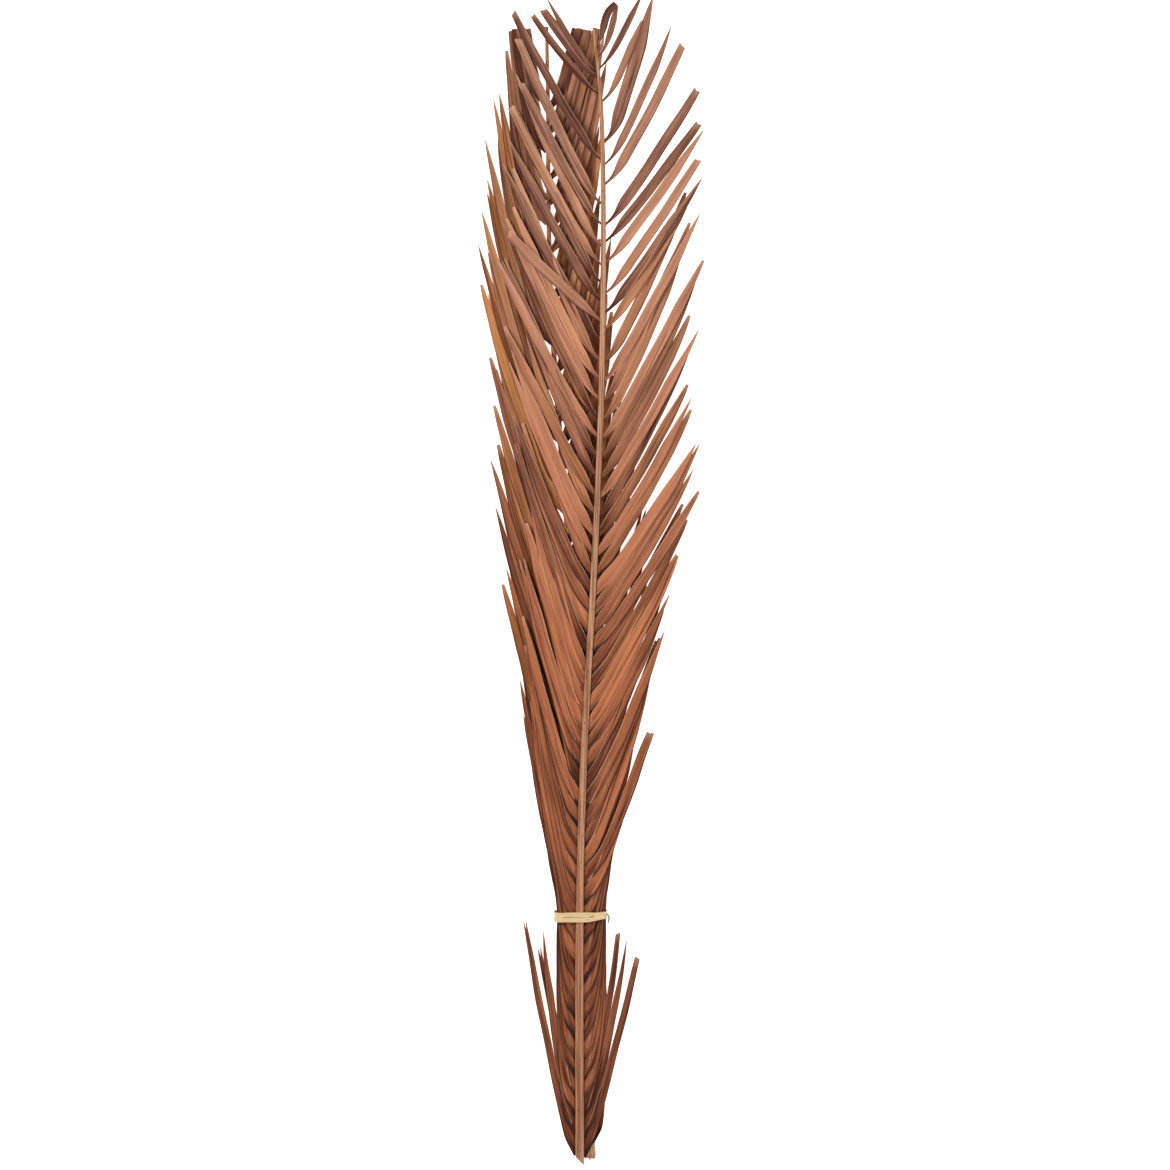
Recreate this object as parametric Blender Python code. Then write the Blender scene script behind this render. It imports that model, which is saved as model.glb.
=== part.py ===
"""Two dried date palm fronds, laid face up one on the other, lying on a table and tied with raffia.

+Y runs from the cut butts to the tips, +X to the right and +Z up from the table. Metres.
Each frond is a rachis with leaflets down both sides. A node of leaflets is a fan of neighbours that share
one heel strip, the ridge along the rachis that their bases grow from.
"""

import math
import random

import bmesh
import bpy
from mathutils import Vector

MM = 0.001
GAP = 0.3 * MM
SHARP_ANGLE = math.radians(50)

# The tie, where the whole bundle is squeezed, and the line where the rear frond's tips are trimmed.
TIE_Y = 0.253
TIE_X = -0.0087
TRIM_Y = 1.164

# How far a leaflet may stand from the bundle's middle: (height, half width).
WAIST = [(0.0, 0.0205), (0.2, 0.0212), (0.262, 0.0212), (0.31, 0.031), (0.352, 0.044), (0.43, 0.072),
         (0.55, 0.13), (0.80, 0.40)]

# A leaflet leaves the rachis at its frond's heel angle, in degrees by height, and bends to its own lean
# within a few HEEL_BEND.
HEEL_BEND = 8 * MM
BOW = math.radians(5)

# It slopes down from its root, so that each leaflet lies on the one below it.
SLOPE = 0.056
HEEL_DROP = 1.3 * MM
HEEL_DROP_LENGTH = 15 * MM

# A flung leaflet was knocked out of line and lies over its neighbours: it rises over this length.
LIFT_LENGTH = 20 * MM

# The lowest leaflets stray from the bundle and are narrow. Ends are pointed, blunt or split, and some at the
# crown are cut.
STRAY_BLADE = 0.7
ENDS = ("point", "point", "point", "blunt", "blunt", "split")

# Blade section: a shallow V with its outer edge a little higher.
FOLD_THICKNESS = 0.6 * MM
FOLD_HEIGHT = 0.5 * MM
ROLL = math.radians(8)
HEEL_REACH = [(0, 0.008), (0.5, 0.010), (0.9, 0.030), (1.2, 0.030)]
ROOT_HALF = 1.5 * MM
STRIP_WIDE = 1.0 * MM
STRIP_TALL = 1.6 * MM
LEAFLETS_PER_FAN = 4

# Each list holds (height along the bundle, value). Lean is in degrees from the rachis.
FRONT = {
    "name": "front",
    "seed": 11,
    "trim": None,
    "butt_slant": 1.3,
    "x": [(0, -0.0105), (0.26, -0.0105), (0.43, -0.0057), (0.586, 0.003), (0.764, 0.0108), (0.95, 0.0137),
          (1.083, 0.0112), (1.158, 0.0036)],
    "z": [(0, 0.0285), (0.25, 0.0300), (0.6, 0.0310), (1.158, 0.0300)],
    "radius": [(0, 0.0046), (0.25, 0.0041), (0.5, 0.0034), (0.8, 0.0029), (1.05, 0.0023), (1.158, 0.0010)],
    "heel": [(0, 30), (0.1, 35), (0.2, 38), (0.5, 42), (0.8, 52), (1.2, 56)],
    "roots": {"left": (0.020, 0.868), "right": (0.018, 0.84)},
    "spacing": [(0, 0.0196), (1.2, 0.0196)],
    "wander": 1,
    "strays": {"left": 2, "right": 3},
    "flung": {
        "left": [(0.020, 11.7, 0.235, 0, "split"), (0.040, 8, 0.200, 0, "point"),
                 (0.866, 47, 0.128, 0.009, "cut")],
        "right": [(0.018, 15, 0.200, 0, "cut"), (0.038, 12, 0.195, 0, "point"), (0.057, 10, 0.182, 0, "cut"),
                  (0.272, 25, 0.122, 0, "cut"), (0.290, 31, 0.176, 0, "cut")],
    },
    "crown": {
        "left": [(0.884, 29, 0.190, 8.5, "point"), (0.903, 25, 0.200, 8.5, "point"),
                 (0.921, 29, 0.185, 8.5, "cut"), (0.940, 25, 0.195, 8.0, "point"),
                 (0.962, 28, 0.165, 8.0, "cut"), (0.983, 25, 0.189, 8.5, "cut"),
                 (1.028, 28, 0.175, 7.5, "cut"), (1.094, 34, 0.104, 6.5, "cut"),
                 (1.111, 30, 0.088, 8.5, "cut"), (1.117, 25, 0.090, 5.0, "point")],
        "right": [(0.855, 31, 0.159, 8.5, "point"), (0.872, 34, 0.168, 9.0, "point"),
                  (0.8915, 33, 0.166, 8.5, "cut"), (0.923, 35, 0.168, 9.0, "point"),
                  (0.9445, 37, 0.153, 9.0, "cut"), (0.962, 33, 0.166, 9.5, "cut"),
                  (1.003, 28, 0.163, 9.0, "cut"), (1.023, 25, 0.157, 7.0, "point"),
                  (1.0465, 18, 0.156, 11.5, "point"), (1.087, 26, 0.092, 6.5, "point"),
                  (1.120, 34, 0.090, 5.5, "point"), (1.132, 22, 0.055, 6.0, "blunt")],
    },
    "blade": [(0.02, 0.0085), (0.3, 0.0088), (0.9, 0.0088), (1.13, 0.0078)],
    "droop": {
        "left": [(0, 0.05), (0.12, 0.05), (0.4, 0.11), (1.2, 0.11)],
        "right": [(0, 0.10), (0.12, 0.10), (0.4, 0.26), (1.2, 0.26)],
    },
    "lean": {
        "left": [(0.02, 15), (0.075, 11), (0.12, 8), (0.20, 9), (0.253, 11), (0.311, 13), (0.372, 15),
                 (0.474, 19), (0.576, 23), (0.678, 26), (0.866, 27)],
        "right": [(0.02, 15), (0.075, 11), (0.12, 8), (0.20, 10), (0.253, 13), (0.311, 17), (0.372, 22),
                  (0.474, 25.5), (0.576, 28), (0.760, 23.5), (0.852, 28)],
    },
    "length": {
        "left": [(0.02, 0.210), (0.168, 0.222), (0.27, 0.225), (0.372, 0.205), (0.78, 0.209), (0.88, 0.199)],
        "right": [(0.02, 0.180), (0.168, 0.225), (0.27, 0.220), (0.372, 0.195), (0.474, 0.183),
                  (0.76, 0.196), (0.852, 0.180)],
    },
}
REAR = {
    "name": "rear",
    "seed": 23,
    "trim": TRIM_Y,
    "butt_slant": 0.2,
    "x": [(0.006, 0.0000), (0.08, -0.0020), (0.253, -0.0100), (0.43, -0.0115), (0.56, -0.0165),
          (0.678, -0.0255), (0.78, -0.0335), (0.88, -0.0400), (0.984, -0.0425), (1.086, -0.0430),
          (1.163, -0.0445)],
    "z": [(0.006, 0.0145), (0.25, 0.0160), (0.7, 0.0160), (1.163, 0.0150)],
    "radius": [(0.006, 0.0062), (0.04, 0.0050), (0.25, 0.0040), (0.5, 0.0033), (0.8, 0.0027),
               (1.163, 0.0018)],
    "heel": [(0, 47), (0.2, 38), (0.5, 42), (0.8, 52), (1.2, 56)],
    "roots": {"left": (0.034, 1.100), "right": (0.030, 1.100)},
    "spacing": [(0, 0.0245), (1.2, 0.0245)],
    "wander": 0.5,
    "strays": {"left": 1, "right": 0},
    "flung": {"left": [(0.034, 11, 0.192, 0, "split")], "right": []},
    "crown": {"left": [], "right": []},
    "blade": [(0.02, 0.0085), (0.3, 0.0092), (1.1, 0.0100)],
    "droop": {"left": [(0, 0.0), (1.2, 0.0)], "right": [(0, 0.0), (1.2, 0.0)]},
    "lean": {
        "left": [(0.02, 15), (0.075, 11), (0.12, 9), (0.20, 10), (0.253, 12), (0.311, 14.5), (0.372, 16.5),
                 (0.474, 16), (0.56, 13.5), (0.678, 13), (0.78, 12), (0.882, 9), (0.984, 8), (1.11, 8)],
        "right": [(0.02, 15), (0.075, 11), (0.12, 8), (0.253, 9), (0.311, 12), (0.372, 16), (0.474, 17),
                  (0.576, 15), (0.678, 14.5), (0.78, 15), (0.882, 15), (0.984, 14), (1.11, 12)],
    },
    "length": {
        "left": [(0.02, 0.180), (0.168, 0.215), (0.27, 0.230), (0.576, 0.245), (0.78, 0.235), (0.882, 0.214),
                 (1.11, 0.190)],
        "right": [(0.02, 0.180), (0.168, 0.210), (0.27, 0.215), (0.474, 0.205), (1.11, 0.190)],
    },
}

# Raffia: two flat wraps side by side, and the knot where their ends are hitched.
WRAP_WIDE = 5.0 * MM
WRAP_THICK = 0.7 * MM
WRAP_HALF_X = 27.6 * MM
WRAP_HALF_Z = 17.2 * MM
WRAP_SQUARENESS = 5
WRAP_FLATTENED = 0.985
WRAP_STEPS = 32


def along(profile, y):
    """The value of a profile at height y, on a smooth curve through its (height, value) points."""
    last = len(profile) - 1
    y = min(max(y, profile[0][0]), profile[last][0])
    i = max(k for k in range(last) if profile[k][0] <= y)

    def slope(k):
        (y_a, v_a), (y_b, v_b) = profile[max(k - 1, 0)], profile[min(k + 1, last)]
        return (v_b - v_a) / (y_b - y_a)

    (y_0, v_0), (y_1, v_1) = profile[i], profile[i + 1]
    span = y_1 - y_0
    t = (y - y_0) / span
    ends = v_0 * (1 + 2 * t) * (1 - t) ** 2 + v_1 * t * t * (3 - 2 * t)
    return ends + span * t * (1 - t) * (slope(i) * (1 - t) - slope(i + 1) * t)


def rachis_point(frond, y):
    return Vector((along(frond["x"], y), y, along(frond["z"], y)))


def rachis_turn(frond, y):
    """The angle between the rachis and +Y at height y, positive to the right."""
    step = 2 * MM
    ahead, behind = rachis_point(frond, y + step), rachis_point(frond, y - step)
    return math.atan2(ahead.x - behind.x, ahead.y - behind.y)


def leaflets_of(frond, side_name):
    """Every leaflet of one side, from the butt up, as a dict of what makes its shape."""
    y, last = frond["roots"][side_name]
    chance = random.Random(frond["seed"] + (100 if side_name == "right" else 0))
    lean_at, length_at = frond["lean"][side_name], frond["length"][side_name]
    leaflets = []

    def add(y, lean, length, blade, end, lift=0.0):
        stray = len(leaflets) < frond["strays"][side_name]
        leaflets.append({
            "frond": frond["name"],
            "side": 1 if side_name == "right" else -1,
            "y": y,
            "stray": stray,
            "lean": math.radians(lean),
            "length": length,
            "bow": BOW * (1 + 0.6 * chance.uniform(-1, 1)),
            "blade": blade * (STRAY_BLADE if stray else 1),
            "droop": along(frond["droop"][side_name], y),
            "lift": lift,
            "end": end,
        })

    while y <= last:
        # Neighbours lean together in twos and threes, and each has its own small wander.
        free = min(max((y - 0.2) / 0.2, 0.25), 1)
        bunch = 2.2 * math.sin(2.3 * len(leaflets) + frond["seed"])
        lean = along(lean_at, y) + frond["wander"] * free * (bunch + 2.0 * chance.uniform(-1, 1))
        length = along(length_at, y) * (1 + 0.08 * chance.uniform(-1, 1))
        blade = along(frond["blade"], y) * (1 + 0.12 * chance.uniform(-1, 1))
        end = chance.choice(ENDS)
        add(y, lean, length, blade, end)
        y += along(frond["spacing"], y)
    for y, lean, length, blade, end in frond["crown"][side_name]:
        add(y, lean, length, blade * MM, end, lift=1.5 * MM if y == frond["crown"][side_name][-1][0] else 0)
    for y, lean, length, lift, end in frond["flung"][side_name]:
        nearest = min(leaflets, key=lambda leaf: abs(leaf["y"] - y))
        nearest.update(lean=math.radians(lean), length=length, lift=lift, end=end)
    return leaflets


def leaflet_line(frond, leaf, steps=48):
    """The leaflet's middle line, as (length so far, point), from its root to its tip or its trimmed end."""
    side = leaf["side"]
    root = rachis_point(frond, leaf["y"])
    turn = rachis_turn(frond, leaf["y"])
    x = root.x + side * (along(frond["radius"], leaf["y"]) + GAP + STRIP_WIDE)
    y = root.y
    line = []
    step = leaf["length"] / steps
    heel_lean = math.radians(along(frond["heel"], leaf["y"]))
    for k in range(steps + 1):
        run = k * step
        drop = SLOPE * run + HEEL_DROP * (1 - math.exp(-run / HEEL_DROP_LENGTH)) + leaf["droop"] * run * run
        drop -= leaf["lift"] * (1 - math.exp(-run / LIFT_LENGTH))
        off = x - TIE_X
        if not leaf["stray"]:
            off /= (1 + (off / along(WAIST, y)) ** 4) ** 0.25
        if frond["trim"] and y > frond["trim"]:
            break
        line.append((run, Vector((TIE_X + off, y, root.z - drop))))
        heel = math.exp(-(run + step / 2) / HEEL_BEND)
        heading = leaf["lean"] - leaf["bow"] * (run / leaf["length"] - 0.5)
        heading = heading + (heel_lean - heading) * heel
        x += step * math.sin(turn + side * heading)
        y += step * math.cos(turn + side * heading)
    return line


def blade_width(leaf, run):
    """Full width of the blade at a distance from its root: narrow heel, parallel middle, long point."""
    share = run / leaf["length"]
    heel = 0.4 + 0.6 * min(1, run / along(HEEL_REACH, leaf["y"]))
    point = min(1, (1 - share) / 0.42)
    return leaf["blade"] * heel * (max(point, 0) ** 0.8 if leaf["end"] == "point" else max(point, 0.45))


def blade_ring(line, k, leaf):
    """Four points round the blade at step k: its outer edge, the keel, its inner edge and the fold."""
    run, centre = line[k]
    ahead = line[min(k + 1, len(line) - 1)][1] - line[max(k - 1, 0)][1]
    outer = Vector((ahead.y, -ahead.x, 0)).normalized() * leaf["side"]
    up = Vector((0, 0, 1))
    across = outer * math.cos(ROLL) + up * math.sin(ROLL)
    rise = up * math.cos(ROLL) - outer * math.sin(ROLL)
    half = blade_width(leaf, run) / 2
    share = min(1, half * 2 / leaf["blade"])
    edge = rise * FOLD_HEIGHT * share
    thick = rise * FOLD_THICKNESS / 2
    return [centre + across * half + edge, centre - thick, centre - across * half + edge, centre + thick]


def extrude_through(bm, face, rings):
    """Extrudes a face through rings of points, in the order of its corners, and returns the last face."""
    for ring in rings:
        face = bmesh.ops.extrude_discrete_faces(bm, faces=[face])["faces"][0]
        for vert, point in zip(face.verts, ring):
            vert.co = point
    return face


def start_face(bm, ring):
    return bm.faces.new([bm.verts.new(point) for point in ring])


def finish_solid(bm, name, material, smooth=False):
    """Closes the mesh, turns its faces outwards and makes it an object."""
    bmesh.ops.holes_fill(bm, edges=bm.edges[:], sides=0)
    bmesh.ops.recalc_face_normals(bm, faces=bm.faces[:])
    mesh = bpy.data.meshes.new(name)
    bm.to_mesh(mesh)
    bm.free()
    if smooth:
        mesh.shade_smooth()
        mesh.set_sharp_from_angle(angle=SHARP_ANGLE)
    mesh.materials.append(material)
    obj = bpy.data.objects.new(name, mesh)
    bpy.context.scene.collection.objects.link(obj)
    return obj


def add_fan(frond, leaflets, name, material):
    """One heel strip with its leaflets grown out of its outer wall."""
    bm = bmesh.new()
    side = leaflets[0]["side"]
    rings = []
    for leaf in leaflets:
        for y in (leaf["y"] - ROOT_HALF, leaf["y"] + ROOT_HALF):
            spine = rachis_point(frond, y)
            near = spine.x + side * (along(frond["radius"], y) + GAP)
            far = near + side * STRIP_WIDE
            low, high = spine.z - STRIP_TALL / 2, spine.z + STRIP_TALL / 2
            rings.append([Vector((near, y, low)), Vector((far, y, low)), Vector((far, y, high)),
                          Vector((near, y, high))])
    face = start_face(bm, rings[0])
    stations = [list(face.verts)]
    for ring in rings[1:]:
        face = extrude_through(bm, face, [ring])
        stations.append(list(face.verts))
    for i, leaf in enumerate(leaflets):
        before, after = stations[2 * i], stations[2 * i + 1]
        corners = [before[2], before[1], after[1], after[2]]
        root_face = bm.faces.get(corners)
        order = [corners.index(vert) for vert in root_face.verts]
        line = leaflet_line(frond, leaf)
        last = len(line) - 1
        keys = [max(1, round(last * share)) for share in (0.05, 0.36, 0.70, 1.0)]
        rings = [blade_ring(line, k, leaf) for k in keys]
        trimmed = leaf["end"] != "point" or last < 48
        ends = rings if trimmed else rings[:-1]
        tip = extrude_through(bm, root_face, [[ring[c] for c in order] for ring in ends])
        if not trimmed:
            tip = extrude_through(bm, tip, [[line[last][1]] * 4])
            bmesh.ops.pointmerge(bm, verts=list(tip.verts), merge_co=line[last][1])
    return finish_solid(bm, name, material)


def add_rachis(frond, material):
    """A tapering oval stalk, cut on the slant at the butt."""
    bm = bmesh.new()
    start, end = frond["x"][0][0], frond["x"][-1][0]
    count, sides = 40, 10
    rings = []
    for i in range(count + 1):
        y = start + (end - start) * i / count
        centre = rachis_point(frond, y)
        radius = along(frond["radius"], y)
        slant = frond["butt_slant"] if i == 0 else 0
        ring = []
        for k in range(sides):
            angle = math.tau * (k + 0.5) / sides
            dx, dz = radius * math.cos(angle), radius * math.sin(angle)
            ring.append(centre + Vector((dx, slant * (radius - dx), dz)))
        rings.append(ring)
    extrude_through(bm, start_face(bm, rings[0]), rings[1:])
    return finish_solid(bm, frond["name"] + "_rachis", material, smooth=True)


def wrap_point(turn, out):
    """A point on the tie's rounded outline, flat underneath, out metres outside its inner face."""
    c, s = math.cos(turn), math.sin(turn)
    power = 2 / WRAP_SQUARENESS
    x = math.copysign(abs(c) ** power, c) * (WRAP_HALF_X + out)
    z = math.copysign(abs(s) ** power, s)
    z = max(z, -WRAP_FLATTENED) * (WRAP_HALF_Z + out)
    return TIE_X + x, WRAP_FLATTENED * (WRAP_HALF_Z + WRAP_THICK) + z


def add_wrap(name, middle_y, material):
    """One flat turn of raffia round the whole bundle."""
    bm = bmesh.new()
    loops = []
    for k in range(WRAP_STEPS):
        turn = math.tau * k / WRAP_STEPS
        loops.append([
            bm.verts.new((*wrap_point(turn, out)[:1], middle_y + along_y, wrap_point(turn, out)[1]))
            for out, along_y in ((0, -WRAP_WIDE / 2), (WRAP_THICK, -WRAP_WIDE / 2),
                                 (WRAP_THICK, WRAP_WIDE / 2), (0, WRAP_WIDE / 2))
        ])
    for a, b in zip(loops, loops[1:] + loops[:1]):
        for i in range(4):
            bm.faces.new((a[i], a[(i + 1) % 4], b[(i + 1) % 4], b[i]))
    return finish_solid(bm, name, material, smooth=True)


def add_knot(material):
    """The hitch on the right of the tie, with its short end hooking down the bundle."""
    bm = bmesh.new()
    x = TIE_X + WRAP_HALF_X + WRAP_THICK + GAP
    z = WRAP_FLATTENED * (WRAP_HALF_Z + WRAP_THICK)
    rings = []
    for dx, y, half in ((0.0, 4.5, 1.4), (0.2, 1.5, 2.6), (1.0, -1.0, 2.0), (1.7, -4.5, 1.0),
                        (1.4, -8.0, 0.6)):
        ring = [Vector((x + (dx + w) * MM, TIE_Y + y * MM, z + h * half * MM))
                for w, h in ((0, -1), (1.2, -1), (1.2, 1), (0, 1))]
        rings.append(ring)
    extrude_through(bm, start_face(bm, rings[0]), rings[1:])
    return finish_solid(bm, "raffia_knot", material)


def new_material(name, colour, roughness):
    material = bpy.data.materials.new(name)
    material.use_nodes = True
    shader = material.node_tree.nodes["Principled BSDF"]
    shader.inputs["Base Color"].default_value = (*colour, 1)
    shader.inputs["Roughness"].default_value = roughness
    shader.inputs["Metallic"].default_value = 0
    return material


def centre_on_base(objects):
    """Parents every piece to an empty that puts the origin at the middle of the bundle's base."""
    points = [vert.co for obj in objects for vert in obj.data.vertices]
    lows = [min(p[i] for p in points) for i in range(3)]
    highs = [max(p[i] for p in points) for i in range(3)]
    bundle = bpy.data.objects.new("bundle", None)
    bundle.location = (-(lows[0] + highs[0]) / 2, -(lows[1] + highs[1]) / 2, -lows[2])
    bpy.context.scene.collection.objects.link(bundle)
    for obj in objects:
        obj.parent = bundle


def main():
    for obj in list(bpy.data.objects):
        bpy.data.objects.remove(obj)
    stalk = new_material("dried_rachis", (0.47, 0.25, 0.14), 0.6)
    leaf_front = new_material("dried_leaflet_front", (0.34, 0.14, 0.075), 0.65)
    leaf_rear = new_material("dried_leaflet_rear", (0.38, 0.16, 0.065), 0.65)
    raffia = new_material("raffia", (0.82, 0.56, 0.30), 0.7)
    for frond, leaf_material in ((REAR, leaf_rear), (FRONT, leaf_front)):
        add_rachis(frond, stalk)
        for side_name in ("left", "right"):
            leaflets = leaflets_of(frond, side_name)
            for number, i in enumerate(range(0, len(leaflets), LEAFLETS_PER_FAN), start=1):
                name = f"{frond['name']}_leaflets_{side_name}_{number:02d}"
                add_fan(frond, leaflets[i:i + LEAFLETS_PER_FAN], name, leaf_material)
    add_wrap("raffia_wrap_upper", TIE_Y + (WRAP_WIDE + GAP) / 2, raffia)
    add_wrap("raffia_wrap_lower", TIE_Y - (WRAP_WIDE + GAP) / 2, raffia)
    add_knot(raffia)
    centre_on_base(list(bpy.context.scene.collection.objects))


main()
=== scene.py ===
# %% [markdown]
# # Dried date palm fronds, tied with raffia
# This lesson dresses a plain solid model of two dried palm fronds. One lies on the other, leaflets folded
# up along the stalks, and a strip of pale raffia holds them near the cut butts. The solids already have
# the right place and size, so every piece here starts from them and only adds what the eye needs: thin
# folded blades, fibres, colour.

# %% Load the solids
import math
import random

import bpy
import numpy as np
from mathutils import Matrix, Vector


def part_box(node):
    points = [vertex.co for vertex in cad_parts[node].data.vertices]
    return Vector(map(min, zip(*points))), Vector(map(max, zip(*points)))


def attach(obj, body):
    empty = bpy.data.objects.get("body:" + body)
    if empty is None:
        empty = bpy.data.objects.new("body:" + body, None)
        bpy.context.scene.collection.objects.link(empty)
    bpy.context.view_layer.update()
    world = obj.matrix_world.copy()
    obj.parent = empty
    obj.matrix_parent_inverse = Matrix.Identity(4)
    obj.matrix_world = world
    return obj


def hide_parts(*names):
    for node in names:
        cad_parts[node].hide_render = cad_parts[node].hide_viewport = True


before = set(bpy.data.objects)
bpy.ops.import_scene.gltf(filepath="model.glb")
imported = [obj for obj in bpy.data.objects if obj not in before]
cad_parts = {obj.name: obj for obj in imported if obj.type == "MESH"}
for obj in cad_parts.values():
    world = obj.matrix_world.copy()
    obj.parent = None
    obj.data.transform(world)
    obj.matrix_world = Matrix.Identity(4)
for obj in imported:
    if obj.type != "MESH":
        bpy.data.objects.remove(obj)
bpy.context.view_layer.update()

MM = 0.001

# %% [markdown]
# ## Where things are
# All measures are made in the bundle's own plan: +Y from the butts to the tips, and the height 0 at the
# butts. The solids are centred on their base instead, so one shift, read from the upper wrap of the tie,
# takes a plan point to its place.

# %% The plan's shift
TIE_X, TIE_Y = -0.0087, 0.253
# The solids leave this much air between the two turns of raffia, and between a stalk and its leaflets.
GAP = 0.3 * MM
WRAP_WIDE = 5.0 * MM
wrap_low, wrap_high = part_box("raffia_wrap_upper")
wrap_middle = (wrap_low + wrap_high) / 2
SHIFT = Vector((wrap_middle.x - TIE_X, wrap_middle.y - TIE_Y - (WRAP_WIDE + GAP) / 2, wrap_low.z))
print("plan to place:", [round(value, 4) for value in SHIFT])

# %% [markdown]
# ## Small helpers
# Blender's operators act on whatever is selected, so each step starts from a clean selection. Colours are
# written as sRGB hex, as on a paint card, and one function turns them to the linear values that shaders
# use.


# %% Helpers
def linear(hex_colour):
    """An sRGB hex colour as linear red, green, blue and an opaque alpha."""
    channels = [int(hex_colour[i:i + 2], 16) / 255 for i in (1, 3, 5)]
    return (*[c / 12.92 if c <= 0.04045 else ((c + 0.055) / 1.055) ** 2.4 for c in channels], 1)


def select_only(*objects):
    if bpy.context.mode != "OBJECT":
        bpy.ops.object.mode_set(mode="OBJECT")
    bpy.ops.object.select_all(action="DESELECT")
    for obj in objects:
        obj.select_set(True)
    bpy.context.view_layer.objects.active = objects[0]


def give_wall(obj, thickness, offset, smooth_to):
    """Turns the active sheet into a thin wall, and smooths its edges up to an angle in degrees."""
    wall = obj.modifiers.new("wall", "SOLIDIFY")
    wall.thickness, wall.offset = thickness, offset
    bpy.ops.object.modifier_apply(modifier="wall")
    bpy.ops.object.shade_smooth_by_angle(angle=math.radians(smooth_to))


def select_points(obj, test):
    """In edit mode, selects the points of the active mesh whose place passes the test."""
    bpy.ops.mesh.select_mode(type="VERT")
    bpy.ops.mesh.select_all(action="DESELECT")
    bpy.ops.object.mode_set(mode="OBJECT")
    for vertex in obj.data.vertices:
        vertex.select = test(vertex.co)
    bpy.ops.object.mode_set(mode="EDIT")


def along(profile, y):
    """The value of a profile at height y, on a smooth curve through its (height, value) points."""
    last = len(profile) - 1
    y = min(max(y, profile[0][0]), profile[last][0])
    i = max(k for k in range(last) if profile[k][0] <= y)

    def slope(k):
        (y_a, v_a), (y_b, v_b) = profile[max(k - 1, 0)], profile[min(k + 1, last)]
        return (v_b - v_a) / (y_b - y_a)

    (y_0, v_0), (y_1, v_1) = profile[i], profile[i + 1]
    span = y_1 - y_0
    t = (y - y_0) / span
    ends = v_0 * (1 + 2 * t) * (1 - t) ** 2 + v_1 * t * t * (3 - 2 * t)
    return ends + span * t * (1 - t) * (slope(i) * (1 - t) - slope(i + 1) * t)


def add_node(tree, kind, inputs=None, **settings):
    """Adds a shader node, sets it up, and fills its inputs with values or links."""
    node = tree.nodes.new("ShaderNode" + kind)
    for name, value in settings.items():
        setattr(node, name, value)
    for socket, value in (inputs or {}).items():
        if isinstance(value, bpy.types.NodeSocket):
            tree.links.new(value, node.inputs[socket])
        else:
            node.inputs[socket].default_value = value
    return node


print("helpers ready")

# %% [markdown]
# ## The camera, the floor and the light
# The bundle lies down, so the camera looks straight down on it from 3.3 m through a long lens, which keeps
# the stalks' sides from showing. The floor is a plain opal light table: it glows a little, so the gaps
# between leaflets stay clean. A softbox from the upper left models the folds, and a larger, weaker one
# fills from the right.

# %% Camera, floor and lights
FRAME_SIDE = 1.1934
LENS, SENSOR = 100, 36
VIEW_X, VIEW_Y, VIEW_Z = -0.0051, 0.5916, 0.028
FLOOR_SIDE, FLOOR_Z = 8, -0.0004
FLOOR_GLOW, SURROUND_GLOW = 0.9, 0.28
view_middle = Vector((VIEW_X, VIEW_Y, VIEW_Z)) + SHIFT
camera = bpy.data.objects.new("camera", bpy.data.cameras.new("camera"))
camera.data.lens, camera.data.sensor_width = LENS, SENSOR
camera.location = view_middle + Vector((0, 0, FRAME_SIDE * LENS / SENSOR))
bpy.context.scene.collection.objects.link(camera)
bpy.context.scene.camera = camera

bpy.ops.mesh.primitive_plane_add(size=FLOOR_SIDE, location=(0, 0, FLOOR_Z))
floor = bpy.context.object
floor.name = "table_top"
opal = bpy.data.materials.new("opal_light_table")
opal.use_nodes = True
opal_shader = opal.node_tree.nodes["Principled BSDF"]
opal_shader.inputs["Base Color"].default_value = linear("#f4f3f1")
opal_shader.inputs["Roughness"].default_value = 0.7
opal_shader.inputs["Emission Color"].default_value = (1, 1, 1, 1)
opal_shader.inputs["Emission Strength"].default_value = FLOOR_GLOW
floor.data.materials.append(opal)


def softbox(name, place, side, watts):
    """A square area light at a place over the bundle, aimed at its middle. Lengths are in metres."""
    light = bpy.data.lights.new(name, "AREA")
    light.size, light.energy = side, watts
    obj = bpy.data.objects.new(name, light)
    obj.location = place
    obj.rotation_euler = (Vector((0, 0, 0)) - Vector(place)).to_track_quat("-Z", "Y").to_euler()
    bpy.context.scene.collection.objects.link(obj)


softbox("key_softbox", (-1.3, 1.0, 2.2), 0.8, 48)
softbox("fill_softbox", (1.8, -0.6, 2.0), 1.4, 26)
world = bpy.data.worlds.new("white_surround")
bpy.context.scene.world = world
world.use_nodes = True
world.node_tree.nodes["Background"].inputs["Color"].default_value = (1, 1, 1, 1)
world.node_tree.nodes["Background"].inputs["Strength"].default_value = SURROUND_GLOW
bpy.context.scene.view_settings.view_transform = "Standard"
print("camera at", [round(value, 3) for value in camera.location])

# %% [markdown]
# ## The two fronds, in numbers
# A frond is a stalk, the rachis, and leaflets down both sides. Each leaflet leaves the stalk at a steep
# heel, bends to its own lean within a few millimetres and then runs nearly straight. Lean, length and
# spacing change slowly along the stalk, so each is a short profile of (height, value) points, and a seeded
# wander makes every leaflet a little different. These are the same rules that the solids were built from.

# %% The fronds' rules
# By height: how far from the tie's middle a leaflet may lie. Strays pass it, as the tie doesn't hold them.
WAIST = [(0.0, 0.0205), (0.2, 0.0212), (0.262, 0.0212), (0.31, 0.031), (0.352, 0.044), (0.43, 0.072),
         (0.55, 0.13), (0.80, 0.40)]
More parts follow.
